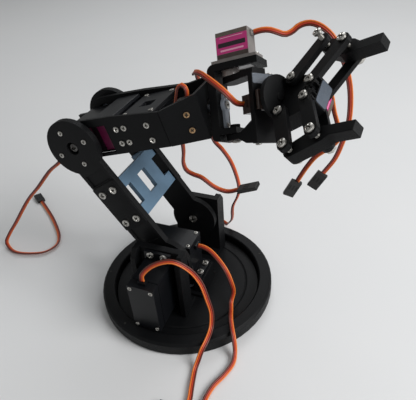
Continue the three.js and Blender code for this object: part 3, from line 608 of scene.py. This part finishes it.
def case_screws(name, matrix, body):
    """Four small screws in the bottom of a big servo's case."""
    for i, (x, y) in enumerate(((-28, -7.7), (-28, 7.7), (7.6, -7.7), (7.6, 7.7))):
        screw(f"{name}_case_screw_{i}", matrix @ axes((x, y, CASE_BOTTOM), *BELOW), body, 1.5, 0.7)


def ear_screws(name, matrix, body):
    """Four screws in a big servo's flange, on the side away from its shaft."""
    for i, (x, y) in enumerate(((-35, -5), (-35, 5), (14.5, -5), (14.5, 5))):
        screw(f"{name}_ear_screw_{i}", matrix @ axes((x, y, EAR_BACK), *BELOW), body, 2.6, 1.5)


case_screws("yaw_servo", YAW_SERVO, "waist")
case_screws("shoulder_servo", SHOULDER_SERVO, "waist")
case_screws("elbow_servo", ELBOW_SERVO, "forearm")
ear_screws("yaw_servo", YAW_SERVO, "waist")
ear_screws("shoulder_servo", SHOULDER_SERVO, "waist")

# a small servo's wide side, in its frame: part, heights, inset from the ends, lift and material
MICRO_ENDS, MICRO_SIDE, MICRO_THICK = (-14.4, 5.1), 5.3, 0.14
MICRO_PARTS = (
    ("label", (-18.4, -8.4), 0, 0, LABEL_PINK),
    ("lid", (-20.9, -18.6), 0, 0, CASE_TINT),
    ("gearbox", (-8.2, -5.9), 0, 0, CASE_BROWN),
    ("strip", (-14.6, -12.1), 1.2, 0.08, LABEL_STRIP),
    ("line_a", (-17.6, -17.2), 2.5, 0.08, LABEL_PALE),
    ("line_b", (-10.6, -9.6), 2.5, 0.08, LABEL_PALE),
)


def micro_label(name, matrix, body, side):
    """A label between a small servo's two tinted caps, on its wide side at +y or -y as side is 1 or -1."""
    face = facing(matrix, (0, side * MICRO_SIDE, 0), (0, side, 0), up=(1, 0, 0))
    for part, heights, inset, lift, material in MICRO_PARTS:
        rows = sorted(-side * height for height in heights)
        corners = rounded_rect(MICRO_ENDS[0] + inset, MICRO_ENDS[1] - inset, *rows, 0.18, 2)
        mesh = outline_plate(f"{name}_{part}", corners, lift, lift + MICRO_THICK)
        put(f"{name}_{part}", mesh, face, body, material)


micro_label("wrist_yaw_servo_near", WRIST_SERVO, "wrist_roll", -1)
micro_label("wrist_yaw_servo_far", WRIST_SERVO, "wrist_roll", 1)
micro_label("gripper_servo_front", GRIP_SERVO, "gripper", -1)
micro_label("gripper_servo_rear", GRIP_SERVO, "gripper", 1)

# elbow servo's label, seen through the forearm's window
for name, corners, low, material in (
        ("elbow_label", rounded_rect(-27, -4, -8.6, 8.6, 0.8), 0, LABEL_MAGENTA),
        ("elbow_label_strip", rounded_rect(-19, -14.5, -8.6, 8.6, 0.4), 0.1, LABEL_STRIP)):
    mesh = outline_plate(name, corners, low, low + 0.2)
    put(name, mesh, ELBOW_SERVO @ axes((0, 0, CASE_BOTTOM), *BELOW), "forearm", material)


# ---------------------------------------------------------------- upper arm and forearm
def arm_side(name, face, sign):
    """An upper-arm plate's raised middle, its screws, and the screws round the elbow."""
    raised, circle = 1.0, 12.3
    rows = sorted((sign * 34, sign * 71.5))
    middle = outline_plate(f"{name}_middle", rounded_rect(-11.3, 11.3, *rows, 1.0), -0.3, raised, 0.35)
    put(f"{name}_middle", middle, face, "upper_arm", PLA_Y)
    for i, (x, z) in enumerate(((-5.7, 39.8), (5.7, 39.8), (-5.7, 65.1), (5.7, 65.1))):
        screw(f"{name}_middle_screw_{i}", face @ shift(x, sign * z, raised), "upper_arm", 2.7, 1.5)
    for i in range(4):
        a = math.radians(90 * i - 2)
        at = face @ shift(circle * math.cos(a), sign * ARM_LENGTH + circle * math.sin(a), 0)
        screw(f"{name}_elbow_screw_{i}", at, "upper_arm", 1.7, 0.8)


arm_side("near", *side_of(UPPER, (0, -19, 0), (0, -1, 0)))
arm_side("far", *side_of(UPPER, (0, 37, 0), (0, 1, 0)))

side, sign = side_of(FORE, (0, -13.8, 0), (0, -1, 0))
for i, (x, z) in enumerate(((36.5, 5.8), (42.5, 5.8), (36.3, -3.9), (42.2, -3.9), (59.3, 5), (59.3, -5))):
    screw(f"forearm_near_screw_{i}", side @ shift(x, sign * z, 0), "forearm", 1.9, 0.9)
for i, z in enumerate((5, -5)):
    at = FORE @ axes((84.9, -8.6, z), (0.94, 0.34, 0), (0, 0, 1), (0.34, -0.94, 0))
    screw(f"nose_screw_{i}", at, "forearm", 1.8, 0.9, BRASS)
for i, (x, y) in enumerate(((41, -6), (41, 24), (61, -6), (61, 24))):
    screw(f"deck_screw_{i}", FORE @ shift(x, y, 11.2), "forearm", 1.7, 0.8)

# ---------------------------------------------------------------- wrist and gripper
screw("roll_horn_screw", ROLL @ axes((-4.3, 0, 0), *FACING_X), "wrist_roll", 2.4, 1.2)
for i, z in enumerate((-12, 5)):
    screw(f"roll_horn_end_screw_{i}", ROLL @ axes((-4.6, 0, z), *FACING_X), "wrist_roll", 1.5, 0.8)
for i, x in enumerate((-16.85, 7.55)):
    screw(f"wrist_ear_screw_{i}", WRIST_SERVO @ axes((x, 0, -5.7), *BELOW), "wrist_roll", 1.7, 1.1)
for i, y in enumerate((-1.5, 9.5)):
    screw(f"yoke_top_screw_{i}", YAW @ shift(21.3, y, 12.3), "wrist_yaw", 1.5, 0.9)
screw("yoke_pin_screw", YAW @ axes((0, 0, -21.8), *BELOW), "wrist_yaw", 2.6, 1.4)
screw("yoke_under_screw", YAW @ axes((18, 0, -25.6), *BELOW), "wrist_yaw", 1.7, 1.2)
# thin sheets in painted glare on the yoke's +x face and the gripper's end: reflected window light, not a
# part
glare_sheet = outline_plate("yoke_glare_sheet", rounded_rect(-5.4, 17.2, 6.4, 11.9, 0.8), 0, 0.25)
put("yoke_glare_sheet", glare_sheet, YAW @ axes((22.9, 0, 0), *FACING_X), "wrist_yaw", PLA_GLARE)
glare_sheet = outline_plate("gripper_end_glare_sheet", rounded_rect(2.8, 11.2, -6.6, 6.6, 1.2), 0, 0.3)
put("gripper_end_glare_sheet", glare_sheet, GRIP @ axes((44.2, 0, 0), *FACING_X), "gripper", PLA_GLARE)


# ---------------------------------------------------------------- bolts
THREAD_R, CORE_R, THREAD_PITCH = 1.45, 1.28, 0.5
NUT_R, NUT_CHAMFER_R, NUT_CHAMFER = 2.8, 2.4, 0.3
BOLT_HEAD, SHAFT_SIDES, NUT_SIDES = 2.0, 18, 6


def bolt_piece(node, matrix, body, reach, nut=0.0, lift=0.0, finish=STEEL, r=2.5):
    """A bolt for a CAD node: its head stands on z = lift, and its shaft ends at -reach, with a nut if nut
    gives its height."""
    bm = bmesh.new()
    bm.from_mesh(screw_mesh(f"{node}_head", r, BOLT_HEAD))
    bmesh.ops.translate(bm, vec=(0, 0, lift * MM), verts=bm.verts)
    threads = [(0, lift)]
    z = lift
    while z > -reach:
        threads += [(THREAD_R, z), (CORE_R, z - THREAD_PITCH / 2)]
        z -= THREAD_PITCH
    threads += [(CORE_R, -reach), (0, -reach)]
    bm.from_mesh(lathe(f"{node}_shaft", threads, SHAFT_SIDES))
    if nut:
        top = nut - reach
        profile = [(0, top), (NUT_CHAMFER_R, top), (NUT_R, top - NUT_CHAMFER),
                   (NUT_R, NUT_CHAMFER - reach), (NUT_CHAMFER_R, -reach), (0, -reach)]
        bm.from_mesh(lathe(f"{node}_nut", profile, NUT_SIDES))
    mesh = finish_mesh(f"{node}_piece", bm)
    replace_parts(put(f"{node}_piece", mesh, matrix, body, finish, RECESS_SHADE), node)


# the gripper's pivots in its x-z plane; the lower half mirrors the upper
LINK_LENGTH, LINK_ANGLE = 25.6, math.radians(61)
SHIFT = (LINK_LENGTH * math.cos(LINK_ANGLE), LINK_LENGTH * math.sin(LINK_ANGLE))
OUTER, INNER = (24.6, 11.3), (39.2, 5.2)
root, knee = ((x + SHIFT[0], z + SHIFT[1]) for x, z in (OUTER, INNER))
for sign, end in ((1, "upper"), (-1, "lower")):
    for kind, (x, z), body, reach, nut, lift in (
            ("outer", OUTER, "gripper", 9.5 if sign > 0 else 13, 0, 0),
            ("inner", INNER, "gripper", 15.7, 0, 0),
            ("finger_root", root, f"finger_{end}", 14.9, 2.2, 3.6 if sign > 0 else 0),
            ("finger", knee, f"finger_{end}", 18.3, 2.2, 0)):
        at = facing(GRIP, (x, -1.3, sign * z), (0, -1, 0)) @ rot((x * 31) % 90, "Z")
        bolt_piece(f"{kind}_bolt_{end}", at, body, reach, nut, lift)
bolt_piece("shoulder_idler_bolt", facing(WAIST, (-5, 31.7, 42.6), (0, -1, 0)), "waist", 18.4, 2.2, r=3.2)
bolt_piece("elbow_idler_bolt", facing(FORE, (0, -16.5, 0), (0, -1, 0)), "forearm", 5,
           finish=DARK_STEEL, r=2.9)

# small dark screws in the base's rim
RIM_R, RIM_TOP = 62.5, 11.0
for i, a in enumerate(math.radians(degrees) for degrees in (-112, -38, 40, 118, 195)):
    at = shift(RIM_R * math.cos(a), RIM_R * math.sin(a), RIM_TOP)
    screw(f"rim_screw_{i}", at, "base", 0.9, 0.3, HOLE)


# ---------------------------------------------------------------- floor and light
FLOOR_HALF = 3.0  # metres


def make_floor():
    mesh = bpy.data.meshes.new("floor")
    corners = [(x * FLOOR_HALF, y * FLOOR_HALF, 0) for x, y in ((-1, -1), (1, -1), (1, 1), (-1, 1))]
    mesh.from_pydata(corners, [], [(0, 1, 2, 3)])
    m, tree, shader = new_material("floor", (0.72, 0.725, 0.73), 0.55)
    shade = ramp(tree, noise(tree, position(tree), 6), (0.70, 0.71, 0.72), (0.75, 0.75, 0.752))
    tree.links.new(shade, shader.inputs["Base Color"])
    mesh.materials.append(m)
    stand("floor", mesh)


def area(name, at, target, size, power, color):
    """A round lamp at a point in metres, turned to its target."""
    data = bpy.data.lights.new(name, "AREA")
    data.shape = "DISK"
    data.size = size
    data.energy = power
    data.color = color
    lamp = stand(name, data)
    lamp.location = at
    lamp.rotation_euler = (Vector(target) - Vector(at)).to_track_quat("-Z", "Y").to_euler()


make_floor()
area("window", (1.2, -0.1, 0.9), (0.08, 0, 0.05), 0.9, 21, (1, 1, 1))
area("fill", (-0.2, 0.9, 1.0), (0, 0, 0.08), 0.8, 4, (0.96, 0.98, 1))
world = bpy.data.worlds.new("world")
world.use_nodes = True
sky = world.node_tree.nodes["Background"].inputs
sky["Color"].default_value = (0.9, 0.91, 0.9, 1)
sky["Strength"].default_value = 0.31
bpy.context.scene.world = world
bpy.context.scene.view_settings.view_transform = "Standard"
